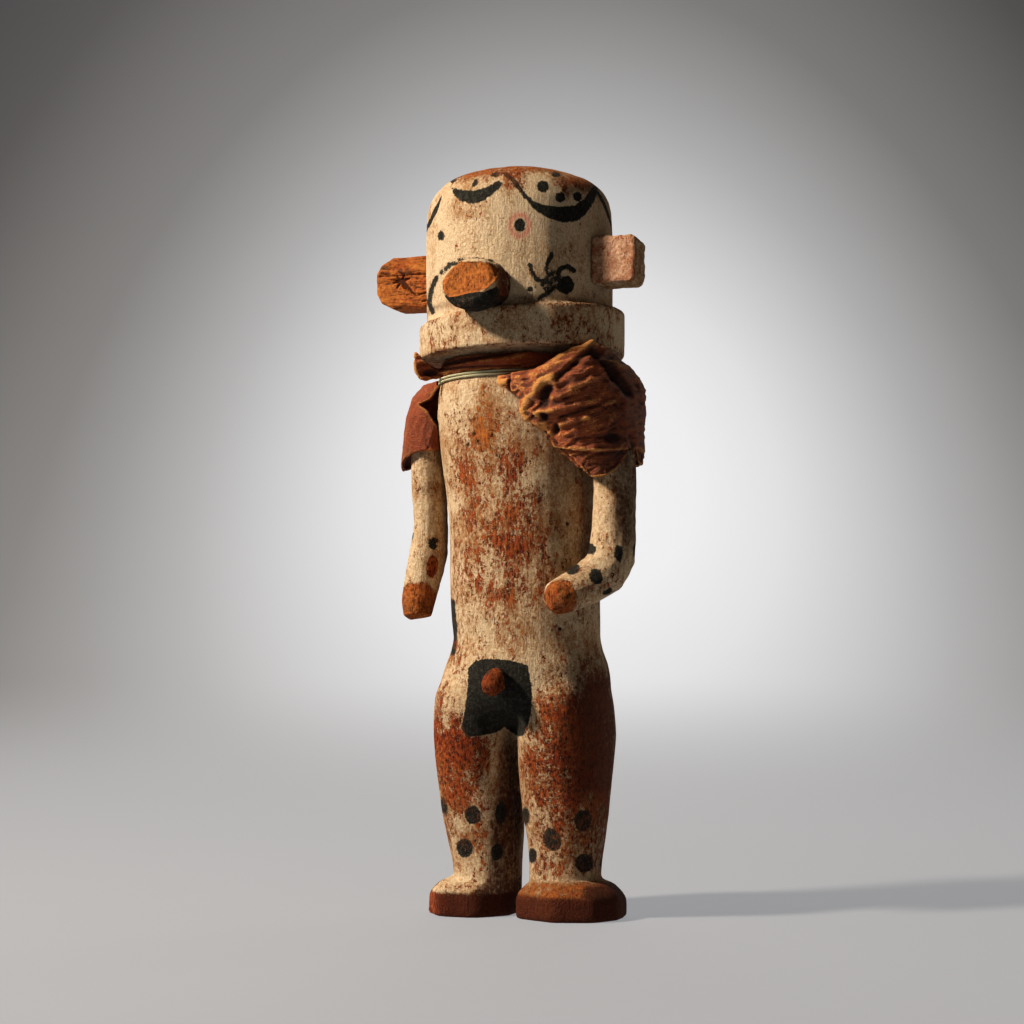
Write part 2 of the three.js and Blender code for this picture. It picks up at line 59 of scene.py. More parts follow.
def onDrawing(points, turn=None):  # doll millimetres to places on the drawing, and how near to the eye
    a = math.radians(seen["azimuth"] if turn is None else turn)
    rise = math.radians(seen["rise"])
    side = points[:, 0] * math.cos(a) + points[:, 1] * math.sin(a)
    near = points[:, 0] * math.sin(a) - points[:, 1] * math.cos(a)
    away = seen["distance"] - near
    above = points[:, 2] - seen["height"]
    depth = away * math.cos(rise) + above * math.sin(rise)
    up = above * math.cos(rise) - away * math.sin(rise)
    across = seen["across"] + seen["reach"] * side / depth
    down = seen["middle"] - seen["reach"] * up / depth
    return np.stack([across, down], 1), near


def lineDistance(place, line):  # drawing units to an open line
    best = np.full(len(place), 1e9)
    for start, end in zip(line[:-1], line[1:]):
        start, end = np.array(start, float), np.array(end, float)
        along = end - start
        t = np.clip(((place - start) @ along) / max(along @ along, 1e-9), 0, 1)
        best = np.minimum(best, np.linalg.norm(place - start - t[:, None] * along, axis=1))
    return best


def areaDistance(place, corners):  # drawing units to a closed outline, below zero inside it
    best = lineDistance(place, list(corners) + [corners[0]])
    inside = np.zeros(len(place), bool)
    x, y = place[:, 0], place[:, 1]
    for (x0, y0), (x1, y1) in zip(corners, list(corners[1:]) + [corners[0]]):
        if y0 != y1:
            inside ^= ((y0 > y) != (y1 > y)) & (x < (x1 - x0) * (y - y0) / (y1 - y0) + x0)
    return np.where(inside, -best, best)


def spotDistance(place, spot):  # an oval spot: across, down, half width, half height, tilt in degrees
    x, y, wide, tall, tilt = (list(spot) + [0])[:5]
    c, s = math.cos(math.radians(tilt)), math.sin(math.radians(tilt))
    dx, dy = place[:, 0] - x, place[:, 1] - y
    across, down = dx * c + dy * s, dy * c - dx * s
    return (np.sqrt((across / wide) ** 2 + (down / tall) ** 2) - 1) * min(wide, tall)


def softSpot(place, x, y, wide, tall):  # 1 at its middle, fading out about the given size
    return np.exp(-(((place[:, 0] - x) / wide) ** 2 + ((place[:, 1] - y) / tall) ** 2))


def marks(place, areas=(), lines=(), spots=()):  # the nearest of several marks
    best = np.full(len(place), 40.0)
    for corners in areas:
        best = np.minimum(best, areaDistance(place, corners))
    for line, width in lines:
        best = np.minimum(best, lineDistance(place, line) - width / 2)
    for spot in spots:
        best = np.minimum(best, spotDistance(place, spot))
    return best


def unevenness(points, size, seed, stretch=(1, 1, 1)):  # smooth random field between -1 and 1
    q = points / np.array(stretch) / size + seed * 7.31
    cell = np.floor(q)
    f = q - cell
    f = f * f * (3 - 2 * f)
    total = np.zeros(len(points))
    for dx in (0, 1):
        for dy in (0, 1):
            for dz in (0, 1):
                corner = cell + np.array([dx, dy, dz])
                value = np.sin(corner @ np.array([127.1, 311.7, 74.7])) * 43758.5453
                weight = (abs(1 - dx - f[:, 0])) * (abs(1 - dy - f[:, 1])) * (abs(1 - dz - f[:, 2]))
                total += (value - np.floor(value)) * weight
    return total * 2 - 1


def creased(points, size, seed, stretch=(1, 1, 1)):  # sharp crests and round hollows, 0 to 1
    return 1 - np.abs(unevenness(points, size, seed, stretch)) * 2


def step(value, low, high):
    t = np.clip((value - low) / (high - low), 0, 1)
    return t * t * (3 - 2 * t)


def places(mesh):
    points = np.empty(len(mesh.vertices) * 3)
    mesh.vertices.foreach_get("co", points)
    normals = np.empty(len(mesh.vertices) * 3)
    mesh.vertices.foreach_get("normal", normals)
    return points.reshape(-1, 3), normals.reshape(-1, 3)


def setPlaces(mesh, points):
    mesh.vertices.foreach_set("co", np.ascontiguousarray(points, float).ravel())
    mesh.update()


def setField(mesh, name, values):
    mesh.attributes.new(name, "FLOAT", "POINT").data.foreach_set("value", np.asarray(values, np.float32))


def crests(mesh, rounds=2):  # how far each point stands out of its neighbours, in tenths of a millimetre
    points, normals = places(mesh)
    edges = np.empty(len(mesh.edges) * 2, np.int64)
    mesh.edges.foreach_get("vertices", edges)
    a, b = edges.reshape(-1, 2).T
    count = np.bincount(a, minlength=len(points)) + np.bincount(b, minlength=len(points))

    def mean(values):
        total = np.zeros_like(values)
        np.add.at(total, a, values[b])
        np.add.at(total, b, values[a])
        return total / np.maximum(count, 1).reshape(-1, *[1] * (values.ndim - 1))

    spread = points
    for _ in range(rounds):
        spread = mean(spread)
    out = ((points - spread) * normals).sum(1) * 1e4
    return mean(mean(out))


def baked(piece, name):  # the piece's modifiers worked into its mesh
    bpy.context.view_layer.update()
    made = bpy.data.meshes.new_from_object(piece.evaluated_get(bpy.context.evaluated_depsgraph_get()))
    piece.modifiers.clear()
    piece.data = made
    made.name = name
    made.shade_smooth()
    return piece


def smoothed(piece, passes, where=None):  # worn smooth all over, or only where the given shares say
    soft = piece.modifiers.new("soft", "SMOOTH")
    soft.factor = 0.5
    soft.iterations = passes
    if where is not None:
        group = piece.vertex_groups.new(name="calm")
        shares = where(fromDoll(places(piece.data)[0]))
        for level in range(1, 6):
            chosen = np.nonzero(np.round(shares * 5).astype(int) == level)[0]
            group.add([int(i) for i in chosen], level / 5, "REPLACE")
        soft.vertex_group = "calm"
    baked(piece, piece.data.name)
    piece.vertex_groups.clear()


def carvedCopy(node, name, cell, passes):  # a fine skin over a copy of a solid, its facets worn round
    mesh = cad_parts[node].data.copy()
    piece = bpy.data.objects.new(name, mesh)
    bpy.context.scene.collection.objects.link(piece)
    form = bmesh.new()
    form.from_mesh(mesh)
    bmesh.ops.remove_doubles(form, verts=form.verts, dist=1e-6)
    form.to_mesh(mesh)
    form.free()
    skin = piece.modifiers.new("skin", "REMESH")
    skin.mode = "VOXEL"
    skin.voxel_size = cell / 1000
    baked(piece, name)
    smoothed(piece, passes)
    return piece


def finished(piece, node, material):
    piece.data.materials.clear()
    piece.data.materials.append(material)
    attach(piece, "root")
    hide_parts(node)
    print("made", piece.name, len(piece.data.polygons))
    return piece


class Wire:  # a shader value that can be written into sums and products
    def __init__(self, finish, socket):
        self.finish, self.socket = finish, socket

    def math(self, operation, other=None, third=None, swapped=False):
        first, second = (other, self) if swapped else (self, other)
        values = {0: first}
        if second is not None:
            values[1] = second
        if third is not None:
            values[2] = third
        return self.finish.add("ShaderNodeMath", {"operation": operation}, values)

    def __add__(self, other):
        return self.math("ADD", other)

    def __sub__(self, other):
        return self.math("SUBTRACT", other)

    def __rsub__(self, other):
        return self.math("SUBTRACT", other, swapped=True)

    def __mul__(self, other):
        return self.math("MULTIPLY", other)

    __radd__ = __add__
    __rmul__ = __mul__

    def clamped(self):
        return self.finish.add("ShaderNodeClamp", {}, {"Value": self, "Min": 0.0, "Max": 1.0})

    def between(self, low, high):  # 0 below low, 1 above high
        ends = {"From Min": low, "From Max": high, "To Min": 0.0, "To Max": 1.0}
        return self.finish.add("ShaderNodeMapRange", {"interpolation_type": "SMOOTHSTEP"},
                               {"Value": self, **ends})


class Finish:  # one material under construction
    def __init__(self, name):
        self.material = bpy.data.materials.new(name)
        self.material.use_nodes = True
        self.tree = self.material.node_tree
        self.tree.nodes.clear()

    def add(self, kind, settings, values, output=0):
        node = self.tree.nodes.new(kind)
        for key, value in settings.items():
            if key == "stops":
                for element, (at, colour) in zip(node.color_ramp.elements, (value[0], value[-1])):
                    element.position, element.color = at, (*colour, 1)
                for at, colour in value[1:-1]:
                    node.color_ramp.elements.new(at).color = (*colour, 1)
            else:
                setattr(node, key, value)
        for key, value in values.items():
            if isinstance(value, Wire):
                self.tree.links.new(value.socket, node.inputs[key])
            else:
                node.inputs[key].default_value = value
        return Wire(self, node.outputs[output]) if len(node.outputs) else None

    def millimetres(self, stretch=(1, 1, 1)):
        where = self.add("ShaderNodeTexCoord", {}, {}, "Object")
        return self.add("ShaderNodeVectorMath", {"operation": "MULTIPLY"},
                        {0: where, 1: tuple(1000 / s for s in stretch)})

    def noise(self, space, size, detail=4.0, roughness=0.6, distortion=0.0):
        return self.add("ShaderNodeTexNoise", {}, {"Vector": space, "Scale": 1 / size, "Detail": detail,
                                                   "Roughness": roughness, "Distortion": distortion}, "Fac")

    def field(self, name):
        return self.add("ShaderNodeAttribute", {"attribute_name": name}, {}, "Fac")

    def mix(self, one, other, share):
        values = {0: share, 6: self.colour(one), 7: self.colour(other)}
        return self.add("ShaderNodeMix", {"data_type": "RGBA"}, values, 2)

    def colour(self, value):
        return value if isinstance(value, Wire) else (*value, 1.0)

    def close(self, colour, roughness, height, **fixed):
        bump = self.add("ShaderNodeBump", {}, {"Strength": 1.0, "Distance": 0.001, "Height": height})
        values = {"Base Color": colour, "Roughness": roughness, "Normal": bump}
        values.update({key.replace("_", " "): value for key, value in fixed.items()})
        shader = self.add("ShaderNodeBsdfPrincipled", {}, values)
        self.add("ShaderNodeOutputMaterial", {}, {"Surface": shader})
        return self.material


# Matt cream paint over wood, rubbed through by handling, with black painted marks and dark brown painted
# shade on sides turned from the light and under the collar
paint = dict(cream=(0.59, 0.44, 0.27), chalk=(0.74, 0.61, 0.42), ochre=(0.35, 0.18, 0.07),
             wood=(0.31, 0.055, 0.014), tan=(0.52, 0.20, 0.045), dark=(0.055, 0.014, 0.006),
             black=(0.020, 0.019, 0.015), grey=(0.085, 0.082, 0.066), pink=(0.62, 0.20, 0.15),
             coat=0.22)


def paintedWood(name, grain=(1, 1, 6), calm=1.0):  # the grain's stretch along each axis
    f = Finish(name)
    plain = f.millimetres()
    streak = f.noise(f.millimetres(grain), 0.85, 5, 0.62)
    hair = f.noise(f.millimetres(tuple(g * g ** 0.3 for g in grain)), 0.38, 3, 0.6)
    sand = f.noise(plain, 1.05, 4, 0.7)
    speck = f.noise(f.millimetres(tuple(g ** 0.22 for g in grain)), 1.5, 6, 0.74)
    patch = f.noise(f.millimetres(tuple(g ** 0.3 for g in grain)), 5.5, 7, 0.70)
    crumb = f.noise(plain, 0.62, 4, 0.72)
    grit = f.noise(plain, 1.7, 4, 0.6)
    blotch = f.noise(plain, 17, 3, 0.55)
    wear, ink, warm, pink, hole = (f.field(n) for n in ("wear", "ink", "warm", "pink", "hole"))
    grime = f.field("grime")
    field = wear + (patch - 0.5) * 1.7 + (speck - 0.5) * 2.3 + (crumb - 0.5) * 1.5
    bare = field.between(0.40, 0.58)
    thin = (wear + (patch - 0.5) * 1.6 + (grit - 0.5) * 1.5 + (blotch - 0.5) * 0.8).between(-0.05, 0.55)
    cream = f.mix(paint["cream"], paint["chalk"], crumb.between(0.42, 0.6))
    tanned = (blotch - 0.5) * 1.5 + (hair - 0.5) * 0.9 + (sand - 0.5) * 2.6 + warm * 0.8 + thin * 0.55
    cream = f.mix(cream, paint["ochre"], tanned.clamped() * 0.85)
    lit = (streak * 0.8 + hair * 0.3 + (grit - 0.5) * 0.5).between(0.42, 0.64)
    wood = f.mix(paint["dark"], paint["wood"], lit)
    lit = (warm * 0.6 + (grit - 0.5) * 1.5 + (hair - 0.5) * 2.0 + (blotch - 0.5)).clamped()
    wood = f.mix(wood, paint["tan"], lit)
    colour = f.mix(cream, wood, bare)
    # Painted shade: darkens towards dark brown on sides turned from the key light, under the collar and
    # inside the right shin; at the toes and knob tip it is also the wood's own darker tone
    shadeAndGrimeShare = (grime * (1.0 + (grit - 0.5) * 1.6 + (streak - 0.5) * 1.4)).clamped()
    colour = f.mix(colour, paint["dark"], shadeAndGrimeShare * 0.92)
    colour = f.mix(colour, paint["pink"], (pink + (crumb - 0.5) * 1.0).clamped() * 0.75)
    inked = (ink * -1.0 + (grit - 0.5) * 1.8 + (crumb - 0.5) * 1.6).between(-0.22, 0.22) * (1 - bare * 0.35)
    black = f.mix(paint["black"], paint["grey"], ((crumb - 0.5) * 2.4 + (grit - 0.5) * 2.0 + 0.12).clamped())
    colour = f.mix(colour, black, inked)
    holed = (hole * -1.0 + (crumb - 0.5) * 1.1).between(-0.2, 0.25)
    colour = f.mix(colour, paint["dark"], holed * 0.9)
    height = (1 - bare) * paint["coat"] + (crumb * 0.52 + grit * 0.8 + streak * 0.6 + hair * 0.34) * calm
    height = height + patch * 0.7 - holed * 0.9
    return f.close(colour, 0.8 + crumb * 0.2 - bare * 0.1, height, Specular_IOR_Level=0.16)


# Stiff dried hide: striped, nearly black in its folds through painted shade, orange on its crests through
# rubbing and painted highlight
hideLook = dict(deep=(0.028, 0.008, 0.005), body=(0.44, 0.135, 0.055), red=(0.50, 0.100, 0.024),
                rub=(0.86, 0.42, 0.12))


def driedHide(name, red, stretch, tilt, ridges, shine, age):
    f = Finish(name)
    across = f.add("ShaderNodeMapping", {"vector_type": "POINT"},
                   {"Vector": f.millimetres(), "Rotation": tuple(math.radians(t) for t in tilt),
                    "Scale": tuple(1 / s for s in stretch)})
    lines = f.noise(across, 1.0, 6, 0.68)
    blotch = f.noise(f.millimetres(), 6, 5, 0.62)
    crumb = f.noise(f.millimetres(), 0.75, 5, 0.7)
    crest, hollow, rub = f.field("crest"), f.field("hollow"), f.field("rub")
    shade = (crest * 0.5 + lines * 1.1 + blotch * 0.9 + (crumb - 0.5) * 1.6 - 0.18).clamped()
    colour = f.mix(hideLook["deep"], hideLook["body"], shade)
    reddened = red + crest * 0.3 + (blotch - 0.5) * 2.2 + (lines - 0.5) * 1.2
    colour = f.mix(colour, hideLook["red"], reddened.clamped())
    # Orange on crests and rubbed folds: wear, and painted highlight where they catch the light
    worn = crest * 0.5 + rub + (lines - 0.5) * 1.8 + (crumb - 0.5) * 3.2 + (blotch - 0.5) * 2.4
    colour = f.mix(colour, hideLook["rub"], worn.between(0.3, 1.25) * 0.9)
    # Painted shade: grooves, pockets, the inside of the hem and the turned-away side go nearly black; age
    # adds the hide's own dark blotches
    colour = f.mix(colour, hideLook["deep"], (hollow + age + (blotch - 0.5) * age * 3.0).clamped() * 0.88)
    height = lines * ridges + crumb * 0.8 + blotch * 0.7
    return f.close(colour, shine + crumb * 0.3, height, Specular_IOR_Level=0.4)


# Body: one root, carved and painted
bodyMake = dict(cell=1.08, passes=4, hipPasses=44, crownDown=1.3, shoulderDown=1.0,
                collar=44.6, collarFoot=237.5, collarTilt=0.025,
                knob=(489, 686, 20, 24), knobAcross=0.30, knobUp=0.40, knobTip=(489, 685, 11, 16, -12),
                knobStain=(486, 676, 4.5, 2.4, -20), eyeRing=(519.9, 225.3, 9.2, 10.6),
                waves=((0.45, 26, 1), (0.26, 11, 2), (0.14, 4.5, 3)))  # height, size and seed of knife waves
bodyInk = dict(
    head=dict(
        areas=[
            [(450.5, 187), (455, 196), (463, 202), (472, 203.8), (482, 202), (492, 195.5), (499, 189),
             (503, 183.5), (499, 180.5), (494, 183), (484, 188.5), (472, 190.6), (460, 189.5)],
            [(502, 172.5), (508, 172.8), (515, 178), (521, 186), (527, 195), (535, 202), (547, 205.6),
             (558, 207), (574, 205.6), (585, 198.8), (590.6, 189.2), (595, 184), (597.5, 186.5),
             (596.9, 193.3), (592, 205.6), (585, 215.2), (577, 221.5), (563, 222.9), (547, 217.9),
             (536, 211), (525, 198.8), (514, 185), (509, 179), (504.5, 176)],
        ],
        lines=[([(530, 265), (532, 272), (536, 279), (544, 282)], 4.4),
               ([(552, 254), (548.5, 261), (546.5, 268)], 4.4),
               ([(546.5, 270), (549, 276)], 3), ([(558, 273), (562, 268), (568, 266.5), (574, 270.5)], 5),
               ([(539.5, 298.5), (546, 294.5), (553, 289)], 4.6),
               ([(437, 278), (431.5, 290), (429.5, 303), (433, 312)], 5)],
        spots=[(441.6, 235.7, 3.4, 5.2), (519.9, 225.3, 5.5, 7), (454, 180.6, 3.5, 2.2, -30),
               (475, 183, 2.6, 4.6, 20), (496, 174.5, 4.6, 2.6, -15), (543, 186.7, 6, 6),
               (560, 197.5, 5.2, 5), (577.6, 196.7, 4.6, 4.6), (556, 174.5, 5, 3.2), (566, 285, 8.4, 9.4),
               (530, 289, 3, 2.8)],
    ),
    trunk=dict(
        areas=[[(468, 668), (474, 661), (484, 658.5), (507, 659.5), (527.5, 665), (532, 687), (532, 703),
                (530, 720), (524, 735), (518, 737), (505, 727.5), (498, 732), (487, 735), (467, 738),
                (461, 728), (465, 707), (467.5, 687)],
               [(450, 598), (455, 600), (457, 628), (455, 655), (450, 655)]]),
    leftLeg=dict(spots=[(525.5, 816, 4, 9), (552, 839.5, 9, 12, -25), (582.7, 820.5, 8.5, 11, 8),
                        (532, 856, 4.5, 7.5), (584, 863, 9, 9.5, 25), (602.5, 864, 3, 8)]),
    rightLeg=dict(spots=[(444, 805.5, 3.2, 9.5, -8), (472.8, 815, 8, 9.5, -20), (501, 813, 5.8, 11.5, 5),
                         (445.5, 837, 2.5, 8), (464.5, 848, 8.5, 9.5, -20), (497, 852, 6, 9, 8)]),
)
dabbed = dict(areas=[[(541, 279), (547, 276), (551, 270), (558, 272), (561, 277), (560, 291), (553, 292),
                      (546, 292), (541, 286)]],
              lines=[([(443, 272), (450, 265), (460, 261.5), (476, 260), (490, 262), (500, 267.5),
                       (508, 278)], 6)])
bodyHoles = dict(spots=[(474, 434, 1.6, 2.4, 20), (477.5, 441.5, 1.4, 3, -35), (492, 435, 1.3, 2.8, 15),
                        (467.5, 445, 1.4, 2.8, 20), (472, 453, 1.6, 1.2), (560, 629, 1.8, 2.2),
                        (567.5, 524, 1.8, 2.4), (485, 452, 1.2, 1.2)],
                 lines=[([(511, 536), (520, 531.5), (529, 528.5)], 0.9), ([(488, 430), (496, 431)], 1.2)])
# Rubbed places: across, down, half width, half height, strength
bodyWear = [
    (482, 432, 14, 22, 0.5), (466, 470, 14, 16, 0.34), (512, 463, 16, 12, 0.28), (512, 542, 22, 38, 0.34),
    (500, 598, 16, 12, 0.36), (470, 520, 14, 40, 0.16), (466, 580, 12, 30, 0.14), (500, 500, 46, 70, 0.15),
    (470, 172, 34, 9, 0.40), (515, 180, 12, 10, 0.45), (574, 183, 22, 7, 0.5), (540, 168, 40, 5, 0.4),
    (590, 178, 20, 10, 0.3), (456, 246, 8, 8, 0.25), (468, 216, 6, 5, 0.25), (455, 754, 24, 34, 0.66),
    (478, 752, 16, 24, 0.25), (433, 745, 10, 30, 0.5), (578, 745, 34, 50, 0.66), (600, 700, 16, 36, 0.45),
    (560, 710, 16, 16, 0.25), (530, 765, 10, 26, 0.35), (600, 780, 14, 40, 0.4), (560, 790, 24, 14, 0.3),
    (436, 690, 8, 16, 0.25), (452, 790, 20, 16, 0.25), (572, 838, 30, 30, 0.16), (560, 870, 30, 10, 0.2),
    (452, 650, 10, 12, 0.35), (445, 330, 18, 22, 0.14), (520, 335, 80, 14, 0.08), (580, 325, 26, 16, 0.22),
    (500, 646, 50, 18, 0.06), (545, 560, 20, 60, 0.12), (575, 255, 16, 30, 0.15),
]
# Places scraped bare on the far side, laid out on the drawing of it
rearWear = [(480, 740, 40, 50, 0.5), (565, 760, 36, 46, 0.5), (520, 500, 40, 60, 0.22),
            (470, 600, 30, 40, 0.25), (560, 430, 30, 40, 0.2), (520, 180, 70, 14, 0.4),
            (450, 260, 30, 40, 0.12), (560, 300, 40, 30, 0.12)]
rearSpots = dict(spots=[(460, 812, 8, 10), (493, 822, 7, 11), (470, 852, 9, 9), (500, 862, 6, 8),
                        (553, 816, 8, 11), (585, 808, 8, 9), (545, 850, 7, 9), (574, 856, 9, 10),
                        (530, 800, 5, 8)])


def rubbed(place, near, rubs):
    total = np.zeros(len(place))
    for x, y, wide, tall, strength in rubs:
        r = ((place[:, 0] - x) / wide) ** 2 + ((place[:, 1] - y) / tall) ** 2
        total += strength * np.exp(-r * 0.9)
    return total * step(near, -4, 10)


crownMake = dict(middles=(-72, -9, 54, 117), reach=29, radius=39.0, top=307.5, drop=12.5, width=3.6,
                 dot=2.1, dots=((-11, 1.5), (1, -2.5), (12, 2.0)))


def crownMarks(mm, near):  # swags and dots that go on about the sides and back of the crown
    around = np.degrees(np.arctan2(mm[:, 0], -mm[:, 1])) % 360 - 180  # 0 at the back
    radius, top = crownMake["radius"], crownMake["top"]
    flat = np.stack([np.radians(around) * radius, -mm[:, 2]], 1)
    best = np.full(len(mm), 40.0)
    for middle in crownMake["middles"]:
        arc = [(math.radians(middle + crownMake["reach"] * s / 6) * radius,
                -top + crownMake["drop"] * (1 - (s / 6) ** 2)) for s in range(-6, 7)]
        swag = lineDistance(flat, arc) - crownMake["width"] / 2
        best = np.minimum(best, swag + step(near, 20, 24) * 20)
        for turn, up in crownMake["dots"]:
            spot = (math.radians(middle + turn) * radius, -top - up, crownMake["dot"], crownMake["dot"])
            best = np.minimum(best, spotDistance(flat, spot) + step(near, -12, -4) * 20)
    return best / seen["unit"]


def bodyForm(piece):  # worn smooth, its crown let down and its collar given a crisp lower edge
    smoothed(piece, bodyMake["passes"], lambda mm: step(mm[:, 2], 24, 28)
             * (1 - 0.8 * step(mm[:, 2], 226, 232) * (1 - step(mm[:, 2], 256, 262))))
    smoothed(piece, bodyMake["hipPasses"], lambda mm: step(mm[:, 2], 72, 86) * (1 - step(mm[:, 2], 98, 108))
             * (1 - step(-mm[:, 1], 29, 33)))
    points, normals = places(piece.data)
    mm = fromDoll(points)
    a = math.radians(seen["azimuth"])
    radius = np.maximum(np.hypot(mm[:, 0], mm[:, 1]), 1)
    tilt = bodyMake["collarTilt"] * (mm[:, 0] * math.cos(a) + mm[:, 1] * math.sin(a))
    above = mm[:, 2] - bodyMake["collarFoot"] - tilt
    out = np.clip(bodyMake["collar"] - 0.7 * (1 - step(above, -0.5, 1.5)) - radius, 0, 4)
    out *= step(radius, 40.3, 41.6) * step(above, -2, -1) * (1 - step(above, 4, 5)) / radius / 1000
    points[:, 0] += mm[:, 0] * out
    points[:, 1] += mm[:, 1] * out
    points[:, 2] -= bodyMake["crownDown"] / 1000 * step(points[:, 2], 0.285, 0.318)
    shoulder = step(points[:, 2], 0.295, 0.315) * step(points[:, 0], 0.010, 0.034)
    points[:, 2] -= bodyMake["shoulderDown"] / 1000 * shoulder
    return points, normals


def bodyInked(mm, place, near, tip):
    front, z = step(near, -6, 2), mm[:, 2]
    head, legs, left = z > 236, z <= 78, mm[:, 0] > 0.5
    ink = np.full(len(mm), 40.0)
    for name, part in (("head", head), ("trunk", ~head & (~legs | (place[:, 1] < 744))),
                       ("leftLeg", legs & left), ("rightLeg", legs & ~left)):
        found = marks(place, **bodyInk[name])
        if name == "head":  # the paw's palm and the ring about the snout are thin
            found = np.minimum(found, np.maximum(marks(place, **dabbed), -0.45))
        ink = np.where(part, np.minimum(ink, found + (1 - front) * 30), ink)
    ink = np.where(head & (near < 24), np.minimum(ink, crownMarks(mm, near)), ink)
    other, otherNear = onDrawing(mm, 200)
    ink = np.where(legs & (otherNear > 2), np.minimum(ink, marks(other, **rearSpots)), ink)
    ink = np.where(tip > 0.3, 4 * tip, ink)
    return np.where(near > 34, np.minimum(ink, spotDistance(place, bodyMake["knobStain"])), ink)


def bodyWorn(mm, place, near, tip, ink):
    z, head = mm[:, 2], mm[:, 2] > 236
    other, otherNear = onDrawing(mm, 200)
    wear = 0.03 + 0.15 * (~head) - 0.05 * (head & (z < 290) & (z > 262)) + 0.05 * unevenness(mm, 30, 4)
    wear += 0.14 * (head & (z < 258)) + rubbed(place, near, bodyWear) + rubbed(other, otherNear, rearWear)
    wear += 1.1 * step(-z, -10.5, -7.5) * step(near, -30, -4) + 0.5 * step(-z, -8, -5)  # toes rubbed bare
    wear += 0.85 * tip - 0.5 * step(-ink, -1, 3) * (place[:, 1] > 650) * (place[:, 1] < 742)
    wear += 0.24 * step(z, 307, 316) * step(near, -6, 2)
    wear += 0.4 * (z < 15.5) * step(z, 8, 11) * (mm[:, 0] > 1) * step(near, 10, 20)
    trunk = step(z, 100, 120) * (1 - step(z, 232, 236))
    return wear + 0.03 * trunk + 0.17 * step(-z, -60, -45) * step(z, 16, 24)


def bodyWarm(mm, place, near, tip):  # how far bare wood turns tan and paint turns ochre
    front, z = step(near, -6, 2), mm[:, 2]
    warm = 0.08 + 1.1 * softSpot(place, 482, 430, 18, 26) * front
    # the ochre over the right flank is painted shade; the crown rim and knob tip are the wood's own tan
    warm += 0.55 * step(z, 302, 317) + 0.2 * tip + 0.3 * softSpot(place, 580, 540, 30, 120) * front
    warm += 0.5 * (z < 16) * step(z, 8, 11) * (mm[:, 0] > 1)
    # the tan down the leg cleft is dirt, and painted shade
    warm += 0.25 * softSpot(place, 502, 790, 14, 70) * front
    trunk = step(z, 100, 120) * (1 - step(z, 232, 236))
    return warm + 0.06 * trunk + 0.15 * step(-z, -70, -45) * step(z, 12, 20)


# Painted shade on sides turned from the key light and under the collar, with the darker tone of the wood at
# the toes and knob tip
def bodyShadeAndGrime(mm, place, near, tip):
    front, left = step(near, -6, 2), mm[:, 0] > 0.5
    x, y, z = place[:, 0], place[:, 1], mm[:, 2]
    return np.maximum.reduce([
        0.95 * (1 - step(z, 9, 11.5)) * step(near, 0, 12),  # toe fronts and foot rims: darker wood, and painted shade
        0.3 * tip,
        # painted shade on the side of the right foot turned from the key light
        (1 - step(z, 14, 18)) * ~left * step(x - 487 + (y - 880) * 1.18, -2, 3) * step(near, -12, 0),
        # painted shade over the right-hand part of the left foot
        1.05 * (1 - step(z, 13, 16)) * left * step(x, 576, 588),
        0.2 * (1 - step(z, 15, 20)) * left * front,
        0.8 * ~left * step(x - 502 + (y - 735) * 0.115, -3, 5) * step(y, 730, 750) * front,  # inner side of the right shin: painted shade, and dirt
        0.66 * left * step(x, 562, 584) * step(z, 44, 56) * (1 - step(z, 96, 120)) * front,  # right-hand side of the left thigh: painted shade
        # painted shade down the right-hand side of the left leg
        0.4 * left * step(x, 580, 600) * (1 - step(z, 60, 80)) * front,
        0.25 * step(x, 560, 590) * step(z, 120, 140) * (1 - step(z, 200, 215)) * front,  # right flank of the trunk: painted shade
        0.6 * step(z, 226, 232) * (1 - step(z, 236, 238)),  # painted shade under the collar and along its top
        # painted shade in the crease along the top of the collar
        0.45 * np.exp(-(((z - 257.5) / 1.6) ** 2)) * front,
        # painted shade at the right end of the collar top
        0.30 * step(x, 588, 604) * step(z, 255, 262) * front])


def makeBody():
    piece = carvedCopy("body", "doll_body", bodyMake["cell"], 2)
    points, normals = bodyForm(piece)
    mesh, mm = piece.data, fromDoll(points)
    place, near = onDrawing(mm)
    front, z = step(near, -6, 2), mm[:, 2]
    tip = step(-spotDistance(place, bodyMake["knobTip"]), -3, 2) * step(near, 33, 36)  # of the knob
    ink = bodyInked(mm, place, near, tip)
    wear = bodyWorn(mm, place, near, tip, ink)
    pink = np.exp(-(spotDistance(place, bodyMake["eyeRing"]) / 2.4) ** 2) * front
    hole = marks(place, **bodyHoles) + (1 - front) * 30
    lift = np.zeros(len(mm))
    for amount, size, seed in bodyMake["waves"]:
        lift += amount * unevenness(mm, size, seed, (1, 1, 1.9))
    lift -= 0.8 * step(-hole, -1, 1.5)
    lift *= step(z, 0.2, 2.5)
    moved = points + normals * (lift / 1000)[:, None]
    a, knob = math.radians(seen["azimuth"]), bodyMake["knob"]
    swell = step(near, 31, 35) * step(-spotDistance(place, knob), -3, 4) * seen["unit"] / 1000
    moved[:, 0] += swell * bodyMake["knobAcross"] * (place[:, 0] - knob[0]) * math.cos(a)
    moved[:, 1] += swell * bodyMake["knobAcross"] * (place[:, 0] - knob[0]) * math.sin(a)
    moved[:, 2] -= swell * bodyMake["knobUp"] * (place[:, 1] - knob[1])
    moved[:, 2] = np.maximum(moved[:, 2], 0)
    setPlaces(mesh, moved)
    setField(mesh, "ink", ink * seen["unit"])
    setField(mesh, "wear", wear + np.clip(crests(mesh), -0.5, 1.5) * 0.10)
    setField(mesh, "warm", bodyWarm(mm, place, near, tip))
    setField(mesh, "pink", pink)
    setField(mesh, "hole", hole * seen["unit"])
    setField(mesh, "grime", bodyShadeAndGrime(mm, place, near, tip))
    return finished(piece, "body", paintedWood("kaolin_over_root"))


makeBody()


